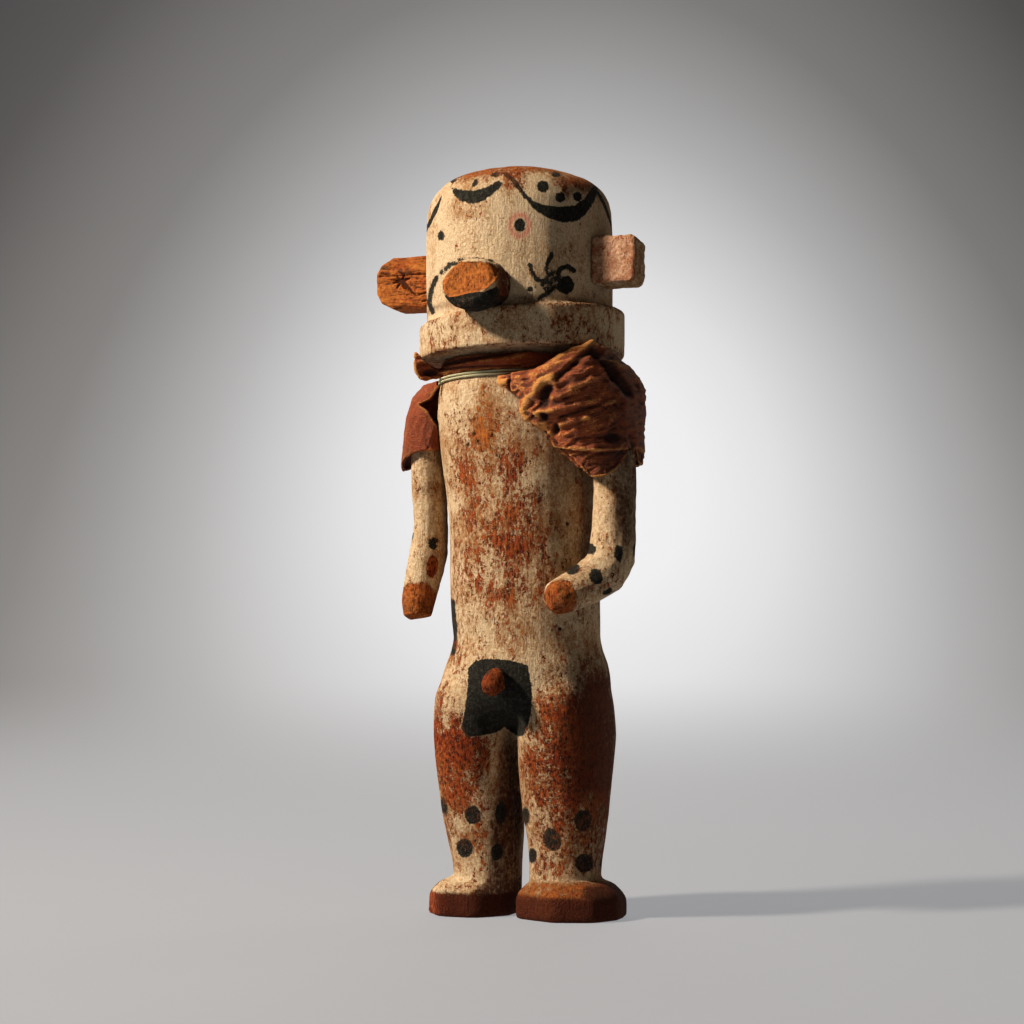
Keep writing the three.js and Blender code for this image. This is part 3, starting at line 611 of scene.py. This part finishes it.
# Ears, snout and arms: whittled apart and fixed on
def woodPiece(node, make, shape):
    piece = carvedCopy(node, "doll_" + node, make["cell"], make["passes"])
    mesh = piece.data
    points, normals = places(mesh)
    mm = fromDoll(points)
    place, near = onDrawing(mm)
    fields = dict(wear=np.full(len(mm), 0.12), ink=np.full(len(mm), 40.0), warm=np.full(len(mm), 0.1),
                  pink=np.zeros(len(mm)), hole=np.full(len(mm), 40.0), grime=np.zeros(len(mm)))
    lift = 0.22 * unevenness(mm, 7, 5) + 0.1 * unevenness(mm, 2.8, 6)
    lift = lift + shape(mm, normals, place, near, fields)
    setPlaces(mesh, points + normals * (lift / 1000)[:, None])
    fields["ink"] = fields["ink"] * seen["unit"]
    fields["hole"] = fields["hole"] * seen["unit"]
    fields["wear"] = fields["wear"] + np.clip(crests(mesh), -0.5, 2) * 0.12
    for key, values in fields.items():
        setField(mesh, key, values)
    return piece


leftEarMake = dict(cell=0.42, passes=4, rosy=0.4)


def leftEarShape(mm, normals, place, near, fields):
    fields["warm"] += 0.3
    fields["pink"] += leftEarMake["rosy"] * step(-normals[:, 1], 0.3, 0.8)
    fields["wear"] += 0.1 + 0.1 * step(place[:, 0], 630, 640)
    return 0.3 * unevenness(mm, 3.2, 8) + 0.15 * unevenness(mm, 1.4, 9)


finished(woodPiece("left_ear", leftEarMake, leftEarShape), "left_ear",
         paintedWood("rosy_paint_on_ear", (1, 1, 1.6)))

# Cracks: start, end and half width at the start, on the drawing
rightEarMake = dict(
    cell=0.36, passes=3, stains=[(400, 270.5, 2.6, 1.8), (408, 272, 3, 1.8), (385, 268, 4, 2)],
    cracks=[((401, 281), (415, 294.5), 2.6), ((401, 281), (406, 290), 1.8), ((401, 281), (397, 288), 1.6),
            ((401, 281), (393, 283), 1.6), ((401, 281), (396, 276), 1.8), ((402, 281), (404, 274), 1.4),
            ((401, 281), (410, 278), 1.9), ((401, 281), (391, 279.5), 1.2),
            ((376, 276.5), (402, 275.2), 0.35),
            ((428, 273.7), (402, 275.2), 0.5), ((428, 292), (418, 295), 0.6), ((427, 300), (421, 302), 0.7)])


def rightEarShape(mm, normals, place, near, fields):
    facing = step(-normals[:, 1], 0.2, 0.7)
    fields["wear"] += 1.0 - 0.25 * step(-place[:, 1], -264, -259)
    # the lighter tan patch near the top is the wood's tone and a painted highlight
    fields["warm"] += 0.72 + 0.9 * softSpot(place, 418, 267, 9, 5)
    stained = marks(place, spots=rightEarMake["stains"]) + (1 - facing) * 20
    fields["ink"] = np.minimum(fields["ink"], stained)
    star = np.full(len(mm), 40.0)
    for start, end, wide in rightEarMake["cracks"]:
        start, along = np.array(start, float), np.array(end, float) - np.array(start, float)
        t = np.clip(((place - start) @ along) / (along @ along), 0, 1)
        away = np.linalg.norm(place - start - t[:, None] * along, axis=1)
        star = np.minimum(star, away - wide * (1 - t * 0.85))
    fields["hole"] = star + (1 - facing) * 20
    return -0.9 * step(-fields["hole"], -1, 0.6) + 0.2 * unevenness(mm, 1.6, 9, (5, 1, 1))


finished(woodPiece("right_ear", rightEarMake, rightEarShape), "right_ear",
         paintedWood("bare_ear_wood", (6, 1, 1), 0.8))

snoutMake = dict(
    cell=0.36, passes=3,
    worn=[(446, 268), (455, 262.5), (466, 261.5), (480, 261.5), (493, 264), (499, 270), (497, 279),
          (487, 287.5), (478, 292), (467, 293.5), (458, 296), (449, 297), (444, 290), (443.5, 278)],
    band=[(447, 300), (452, 297), (458, 297.5), (467, 295), (478, 294), (488, 290), (496, 286), (500, 291),
          (498, 302), (490, 309), (480, 315), (463, 314), (452, 309)])


def snoutShape(mm, normals, place, near, fields):
    worn = areaDistance(place, snoutMake["worn"])
    facing = step(near, 37, 41)
    bare = step(-worn, -1.0, 1.2) * facing
    fields["wear"] += 1.0 * bare
    fields["warm"] += 0.8 * bare
    under = (mm[:, 2] - 257.5) / seen["unit"]
    fields["ink"] = np.minimum(areaDistance(place, snoutMake["band"]), under)
    fields["wear"] += 0.45 * step(place[:, 0], 494, 500)
    # painted shade on the snout's right side, turned from the key light
    fields["grime"] += 0.5 * step(place[:, 0], 492, 502)
    fields["ink"] = np.where(bare > 0.5, 12, fields["ink"])
    fields["wear"] += 0.7 * softSpot(place, 457, 308, 4, 3.5)
    edge = np.exp(-((worn / 1.5) ** 2)) * facing * step(place[:, 1], 264, 276)
    fields["warm"] += 0.5 * edge
    return -0.5 * bare + 0.45 * edge + 0.14 * unevenness(mm, 1.5, 12, (1, 1, 4))


finished(woodPiece("snout", snoutMake, snoutShape), "snout",
         paintedWood("worn_snout", (1, 1, 4)))

armMake = dict(
    cell=0.55, passes=4,
    left=dict(marks=dict(spots=[(590, 549, 6, 5.5, -15), (573, 569, 7, 5, -30), (618.5, 553.5, 4.2, 8.5),
                                (635.5, 551, 2.5, 8), (596, 576.5, 6.5, 8, -20), (607.5, 591, 6, 2.5, -25)]),
              hand=(560, 598, 16, 17)),
    right=dict(marks=dict(spots=[(434, 541, 4, 3), (432.5, 546, 4.5, 3.5, 20), (430, 543, 2, 4),
                                 (411.5, 534, 2, 5), (403, 569, 2.4, 7)]),
               brown=(432, 567, 5.5, 11, 8), hand=(418, 602, 20, 19)))


def armShape(side):
    make = armMake[side]

    def shape(mm, normals, place, near, fields):
        facing = step(near, 3 if side == "left" else -14, 6 if side == "left" else -11)
        bare = step(-spotDistance(place, make["hand"]), -3, 2.5)
        fields["wear"] += 0.72 * bare + 0.02
        fields["warm"] += 0.6 * bare
        fields["ink"] = marks(place, **make["marks"]) + (1 - facing) * 30
        if side == "left":
            # painted shade down the arm's right side, turned from the key light
            fields["grime"] += 0.72 * step(place[:, 0], 607, 620) * step(-place[:, 1], -560, -530)
            fields["wear"] += 0.35 * softSpot(place, 641, 480, 8, 70)
            fields["wear"] += 0.2 * softSpot(place, 612, 580, 16, 14) + 0.2 * softSpot(place, 612, 490, 7, 30)
        else:
            fields["warm"] += 0.4 * step(place[:, 0], 430, 440)
            fields["wear"] += 0.9 * step(-spotDistance(place, make["brown"]), -1, 1) * facing
        return 0.3 * unevenness(mm, 9, 14, (1, 1, 1.8)) + 0.1 * unevenness(mm, 3, 15)

    return shape


for side in ("left", "right"):
    finished(woodPiece(side + "_arm", armMake, armShape(side)), side + "_arm",
             paintedWood("paint_on_" + side + "_arm"))

# Hide: crumpled skins pressed into folds and pockets. A fold or groove is a line on the drawing, its half
# width there, its height in mm and, where given, how rubbed and highlighted a fold is and how much painted
# shade a groove gets. A lump or pocket is an oval there and its height in mm; pockets get painted shade.
# Creases are a size, a height and a seed.
hideMake = dict(creases=((7, 0.7, 21), (3.1, 0.5, 22), (1.5, 0.6, 23)), warp=1.3)
leftSleeveMake = dict(
    cell=0.45, passes=3, crumple=0.70, tilt=20, stretch=(4.4, 1.0, 2.2),
    look=dict(name="crumpled_hide", red=0.25, stretch=(3.4, 1.1, 0.62), tilt=(0, 20, -20), ridges=1.6,
              shine=0.5,
              age=0.05),
    folds=[
        ([(536, 376), (547, 367), (560, 357), (575, 347), (592, 344)], 6.5, 1.6, 0.42),
        ([(554, 378), (543, 381), (533, 391), (527, 404), (524, 414), (530, 422), (542, 427)], 4.4, 1.9,
         1.15),
        ([(535, 413), (540, 410.5), (546, 411), (553, 410)], 1.7, 1.2, 0.9),
        ([(538, 415), (544, 424), (552, 436), (556, 446)], 1.8, 1.0, 0.8),
        ([(555, 446), (566, 456), (581, 470)], 1.6, 0.8, 0.8),
        ([(556, 446), (575, 447.5), (600, 450)], 1.1, 0.2, 0.4),
        ([(554, 398), (566, 393), (578, 391)], 3.0, 0.8),
        ([(570, 389), (584, 383), (600, 376)], 3.0, 0.7),
        ([(556, 410), (575, 405), (598, 399)], 2.6, 0.7),
        ([(560, 424), (572, 420), (588, 418)], 2.4, 0.6),
        ([(603, 358), (618, 366), (632, 368), (640, 384), (643, 400)], 3.0, 1.3),
        ([(606, 404), (618, 398), (628, 392)], 2.6, 0.6),
    ],
    grooves=[
        ([(556, 378), (570, 367), (586, 353)], 3.6, 1.4),
        ([(592, 350), (604, 359), (614, 372), (628, 392)], 4.4, 2.8, 1.3),
        ([(560, 417), (580, 411), (600, 405)], 1.8, 0.7),
        ([(509, 374), (509, 388), (512, 394)], 1.2, 0.9),
    ],
    lumps=[(502, 386, 6.5, 8, 1.2), (518, 385, 8, 11, 0.8), (590, 418, 7, 9, 0.9), (611, 414, 7, 9, 0.7)],
    pockets=[(544, 398, 5.5, 10, 1.9), (543.5, 417.5, 4.2, 4.0, 2.0), (555.5, 430, 3.4, 5, 2.0),
             (612, 438, 8, 5, 0.9), (549, 389, 5, 5, 1.2)],
    under=[(556, 447), (575, 451), (600, 451), (640, 449), (660, 470), (640, 490), (560, 490)], step=1.2)
rightSleeveMake = dict(
    cell=0.42, passes=3, crumple=0.30, tilt=70, stretch=(2, 1.0, 1.6),
    look=dict(name="stiff_red_hide", red=0.75, stretch=(1.5, 1.5, 1.2), tilt=(0, 0, 0), ridges=0.9,
              shine=0.48,
              age=0.5),
    folds=[([(438, 384), (431, 398), (420, 404), (413, 400)], 1.2, 0.3),
           ([(418, 404), (427, 411), (431, 418), (436, 427)], 1.2, 0.3),
           ([(408, 456), (420, 455), (436, 455)], 1.2, 0.3),
           ([(406, 425), (405, 445), (404, 458)], 2.0, 0.2)],
    lumps=[(430, 452, 5, 3, 0.5)],
    pockets=[(407, 465, 3.2, 6, 1.6)])
neckHideMake = dict(
    cell=0.42, passes=2, crumple=0.55, tilt=6, stretch=(6, 1.0, 1.6),
    look=dict(name="neck_hide_strip", red=0.55, stretch=(6, 6, 1), tilt=(0, 0, 0), ridges=0.7, shine=0.52,
              age=0.3),
    # the first groove, just under the collar, carries painted shade
    grooves=[([(436, 366), (470, 359), (510, 352.5), (545, 347)], 2.2, 0.5, 1.0),
             ([(440, 369), (480, 366), (520, 366)], 1.0, 0.4)],
    folds=[([(438, 373), (452, 370), (470, 367.5)], 1.4, 0.5),
           ([(480, 361), (510, 359), (530, 354)], 1.2, 0.5),
           ([(412, 352), (413, 366), (420, 376)], 4.0, 0.3, 0.5)],
    pockets=[(431, 372.5, 7, 3.5, 1.0)])


def alongFolds(mm, tilt):  # places turned so that the first number runs along the folds
    a, t = math.radians(seen["azimuth"]), math.radians(tilt)
    along = np.array([math.cos(a) * math.cos(t), math.sin(a) * math.cos(t), math.sin(t)])
    across = np.array([-math.cos(a) * math.sin(t), -math.sin(a) * math.sin(t), math.cos(t)])
    near = np.array([math.sin(a), -math.cos(a), 0])
    return np.stack([mm @ along, mm @ across, mm @ near], 1)


def blunt(place, x, y, wide, tall, power):  # as softSpot, with a flatter middle
    return np.exp(-((((place[:, 0] - x) / wide) ** 2 + ((place[:, 1] - y) / tall) ** 2) ** power))


def hidePiece(node, make):
    piece = carvedCopy(node, "doll_" + node, make["cell"], make["passes"])
    mesh = piece.data
    points, normals = places(mesh)
    mm = fromDoll(points)
    place, near = onDrawing(mm)
    turn = math.radians(seen["azimuth"])
    facing = step(normals[:, 0] * math.sin(turn) - normals[:, 1] * math.cos(turn), -0.1, 0.3)
    warp = np.stack([unevenness(mm, 8, 31 + i) for i in range(3)], 1)
    warped = alongFolds(mm, make["tilt"]) + hideMake["warp"] * warp
    lift = np.zeros(len(mm))
    for size, amount, seed in hideMake["creases"]:
        lift += make["crumple"] * amount * (creased(warped, size, seed, make["stretch"]) - 0.35)
    hollow, rub = np.zeros(len(mm)), np.zeros(len(mm))
    for line, half, tall, *worn in make.get("folds", []):
        g = np.exp(-(lineDistance(place, line) / half) ** 2) * facing
        worn = worn[0] if worn else 0.25
        lift -= lift * 0.35 * g
        lift += tall * g * (0.8 + 0.45 * unevenness(mm, 3.5, 41))
        rub += worn * g * (1 + 0.9 * unevenness(mm, 2.6, 42))
    # grooves, pockets and the layer under the hem are pressed in and get painted shade
    for line, half, deep, *dark in make.get("grooves", []):
        g = np.exp(-(lineDistance(place, line) / half) ** 2) * facing
        lift -= deep * g
        hollow += (dark[0] if dark else 0.5) * g
    for x, y, wide, tall, high in make.get("lumps", []):
        g = blunt(place, x, y, wide, tall, 1.5) * facing
        lift += high * g
        rub += 0.45 * g
    for x, y, wide, tall, deep in make.get("pockets", []):
        g = blunt(place, x, y, wide, tall, 1.6) * facing
        lift -= deep * g
        hollow += 1.2 * g
    if "under" in make:
        below = areaDistance(place, make["under"])
        lift -= make["step"] * step(-below, -0.8, 0.8) * facing
        rub += 0.5 * np.exp(-((below - 0.8) / 1.0) ** 2) * facing
        hollow += 0.35 * step(-below, 0.5, 3) * facing
        # painted shade over the sleeve's right-hand part, turned from the key light
        hollow += 0.42 * step(place[:, 0], 598, 616) * facing
    setPlaces(mesh, points + normals * (lift / 1000)[:, None])
    smoothed(piece, 1)
    mesh = piece.data
    setField(mesh, "crest", np.clip(crests(mesh, 4), -2, 3))
    setField(mesh, "hollow", hollow)
    setField(mesh, "rub", rub)
    return piece


hides = dict(left_sleeve=leftSleeveMake, right_sleeve=rightSleeveMake, neck_hide=neckHideMake)
for node, make in hides.items():
    finished(hidePiece(node, make), node, driedHide(**make["look"]))

# Neck string: two turns of two-ply cotton with a knot behind
stringMake = dict(strand=0.30, ply=0.28, twist=2.4, gap=1.35, sway=0.14, steps=360, knot=1.4,
                  colour=(0.68, 0.65, 0.44), dark=(0.36, 0.34, 0.20))


def makeString():
    low, high = (np.array(corner) * 1000 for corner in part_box("neck_string"))
    middle = (low + high) / 2
    radius = 0.6
    wide, deep = (high - low)[0] / 2 - radius, (high - low)[1] / 2 - radius
    twists = round((wide + deep) * math.pi / stringMake["twist"])
    curve = bpy.data.curves.new("doll_neck_string", "CURVE")
    curve.dimensions = "3D"
    curve.bevel_depth = stringMake["strand"] / 1000
    curve.bevel_resolution = 1
    top = high[2] - radius
    for turn in (0, 1):
        for ply in (0, 1):
            spline = curve.splines.new("POLY")
            spline.points.add(stringMake["steps"] - 1)
            spline.use_cyclic_u = True
            coords = []
            for i in range(stringMake["steps"]):
                a = i / stringMake["steps"] * 2 * math.pi
                t = twists * a + ply * math.pi + turn
                out = stringMake["ply"] * math.cos(t)
                up = stringMake["ply"] * math.sin(t) + stringMake["sway"] * math.sin(3 * a + turn)
                x = middle[0] + (wide + out) * math.sin(a)
                y = middle[1] - radius / 2 - (deep + out - radius) * math.cos(a)
                z = top - turn * stringMake["gap"] + up
                coords += [x / 1000, y / 1000, z / 1000, 1]
            spline.points.foreach_set("co", coords)
    holder = bpy.data.objects.new("string_path", curve)
    bpy.context.scene.collection.objects.link(holder)
    bpy.context.view_layer.update()
    mesh = bpy.data.meshes.new_from_object(holder.evaluated_get(bpy.context.evaluated_depsgraph_get()))
    bpy.data.objects.remove(holder)
    mesh.name = "doll_neck_string"
    form = bmesh.new()
    form.from_mesh(mesh)
    knot = bmesh.ops.create_icosphere(form, subdivisions=3, radius=stringMake["knot"] / 1000)
    behind = Vector((middle[0] / 1000, (high[1] - 1.5) / 1000, (top - 0.7) / 1000))
    bmesh.ops.translate(form, verts=knot["verts"], vec=behind)
    form.to_mesh(mesh)
    form.free()
    mesh.shade_smooth()
    piece = bpy.data.objects.new("doll_neck_string", mesh)
    bpy.context.scene.collection.objects.link(piece)
    f = Finish("faded_green_cotton")
    fibre = f.noise(f.millimetres(), 0.35, 4, 0.7)
    blotch = f.noise(f.millimetres(), 4, 2, 0.5)
    colour = f.mix(stringMake["dark"], stringMake["colour"], (fibre * 1.2 + blotch * 0.5 - 0.3).clamped())
    return finished(piece, "neck_string", f.close(colour, 0.9, fibre * 0.25))


makeString()


# Floor and backdrop; the sweep glows, a painted pool of light behind the doll, and its paper darkens further
# out as painted shade
stageMake = dict(half=2.2, front=1.4, back=1.7, height=2.4, bend=1.3, glowAt=(-0.36, 1.15, 0.32),
                 glowSpread=(1.12, 3.1, 1.45),
                 glow=((0.0, 0.66), (0.12, 0.63), (0.20, 0.55), (0.27, 0.43), (0.35, 0.29), (0.43, 0.185),
                       (0.50, 0.11), (0.70, 0.04)),
                 ground=(0.27, 0.274, 0.285), tint=(0.98, 0.99, 1.02), paper=(0.13, 0.134, 0.14),
                 far=(0.05, 0.053, 0.06))


def makeStage():
    a = math.radians(seen["azimuth"])
    away = Vector((-math.sin(a), math.cos(a), 0))
    side = Vector((math.cos(a), math.sin(a), 0))
    form = bmesh.new()
    first = [form.verts.new(side * s * stageMake["half"] - away * stageMake["front"]) for s in (-1, 1)]
    edge = form.edges.new(first)
    steps = [away * (stageMake["front"] + stageMake["back"] - stageMake["bend"])]
    for i in range(12):
        t0, t1 = i / 12 * math.pi / 2, (i + 1) / 12 * math.pi / 2
        steps.append(away * stageMake["bend"] * (math.sin(t1) - math.sin(t0))
                     + Vector((0, 0, stageMake["bend"] * (math.cos(t0) - math.cos(t1)))))
    steps.append(Vector((0, 0, stageMake["height"])))
    for move in steps:
        grown = bmesh.ops.extrude_edge_only(form, edges=[edge])
        moved = [g for g in grown["geom"] if isinstance(g, bmesh.types.BMVert)]
        edge = next(g for g in grown["geom"] if isinstance(g, bmesh.types.BMEdge))
        bmesh.ops.translate(form, verts=moved, vec=move)
    bmesh.ops.recalc_face_normals(form, faces=form.faces)
    mesh = bpy.data.meshes.new("studio_sweep")
    form.to_mesh(mesh)
    form.free()
    mesh.shade_smooth()
    sweep = bpy.data.objects.new("studio_sweep", mesh)
    bpy.context.scene.collection.objects.link(sweep)
    f = Finish("grey_paper")
    metres = f.add("ShaderNodeTexCoord", {}, {}, "Object")
    around = f.add("ShaderNodeMapping", {"vector_type": "TEXTURE"},
                   {"Vector": metres, "Location": stageMake["glowAt"], "Rotation": (0, 0, a),
                    "Scale": stageMake["glowSpread"]})
    far = f.add("ShaderNodeVectorMath", {"operation": "LENGTH"}, {0: around}, "Value")
    stops = [(at, tuple(value * t for t in stageMake["tint"])) for at, value in stageMake["glow"]]
    glow = f.add("ShaderNodeValToRGB", {"stops": stops}, {"Fac": far})
    level = f.add("ShaderNodeVectorMath", {"operation": "DOT_PRODUCT"}, {0: metres, 1: (0.0, 0.0, 1.0)},
                  "Value")
    glow = f.mix(glow, stageMake["ground"], level.between(0.10, 0.0) * 0.85)
    # painted shade: the paper darkens away from the glow
    paper = f.mix(stageMake["paper"], stageMake["far"], far.between(0.5, 0.9))
    shader = f.add("ShaderNodeBsdfPrincipled", {}, {"Base Color": paper, "Roughness": 0.9,
                                                    "Emission Color": glow, "Emission Strength": 1.0})
    f.add("ShaderNodeOutputMaterial", {}, {"Surface": shader})
    mesh.materials.append(f.material)
    print("made the stage")


makeStage()

# Azimuth and elevation in degrees, distance and width in metres, watts and colour
lights = dict(key=(-49, 37, 1.6, 0.20, 41, (1.0, 0.88, 0.75)), fill=(70, 8, 2.2, 1.2, 0.6, (1.0, 0.66, 0.40)),
              edge=(152, 22, 2.0, 0.4, 3.5, (1.0, 0.86, 0.72)),
              behind=(205, 38, 2.0, 1.4, 7.0, (1.0, 0.93, 0.85)))


def light(name, azimuth, elevation, distance, size, power, colour):
    a, e = math.radians(azimuth), math.radians(elevation)
    target = Vector((0.0045, 0.006, 0.17))
    lamp = bpy.data.lights.new(name, "AREA")
    lamp.shape = "DISK"
    lamp.size = size
    lamp.energy = power
    lamp.color = colour
    holder = bpy.data.objects.new(name, lamp)
    bpy.context.scene.collection.objects.link(holder)
    back = Vector((math.sin(a) * math.cos(e), -math.cos(a) * math.cos(e), math.sin(e)))
    holder.location = target + back * distance
    holder.rotation_mode = "QUATERNION"
    holder.rotation_quaternion = (-back).to_track_quat("-Z", "Y")


for name, values in lights.items():
    light(name, *values)

worldMake = dict(shade=(0.030, 0.0276, 0.0246), backdrop=(0.36, 0.365, 0.375))


def makeWorld():  # dim to the doll, and pale where it is seen past the sweep
    world = bpy.data.worlds.new("studio")
    bpy.context.scene.world = world
    world.use_nodes = True
    tree = world.node_tree
    shade = tree.nodes.new("ShaderNodeMix")
    shade.data_type = "RGBA"
    shade.inputs[6].default_value = (*worldMake["shade"], 1)
    shade.inputs[7].default_value = (*worldMake["backdrop"], 1)
    tree.links.new(tree.nodes.new("ShaderNodeLightPath").outputs["Is Camera Ray"], shade.inputs[0])
    tree.links.new(shade.outputs[2], tree.nodes["Background"].inputs["Color"])


makeWorld()


def makeCamera():
    camera = bpy.data.cameras.new("camera")
    camera.lens = seen["lens"]
    camera.sensor_width = 36
    camera.clip_start, camera.clip_end = 0.05, 20
    holder = bpy.data.objects.new("camera", camera)
    bpy.context.scene.collection.objects.link(holder)
    a = math.radians(seen["azimuth"])
    holder.location = ((doll["axis"][0] + seen["distance"] * math.sin(a)) / 1000,
                       (doll["axis"][1] - seen["distance"] * math.cos(a)) / 1000, seen["height"] / 1000)
    turn = a + math.atan((seen["across"] - seen["middle"]) / seen["reach"])
    holder.rotation_euler = (math.radians(90 + seen["rise"]), 0, turn)
    bpy.context.scene.camera = holder


makeCamera()
bpy.context.scene.view_settings.view_transform = "Standard"
bpy.context.scene.view_settings.look = "Medium High Contrast"
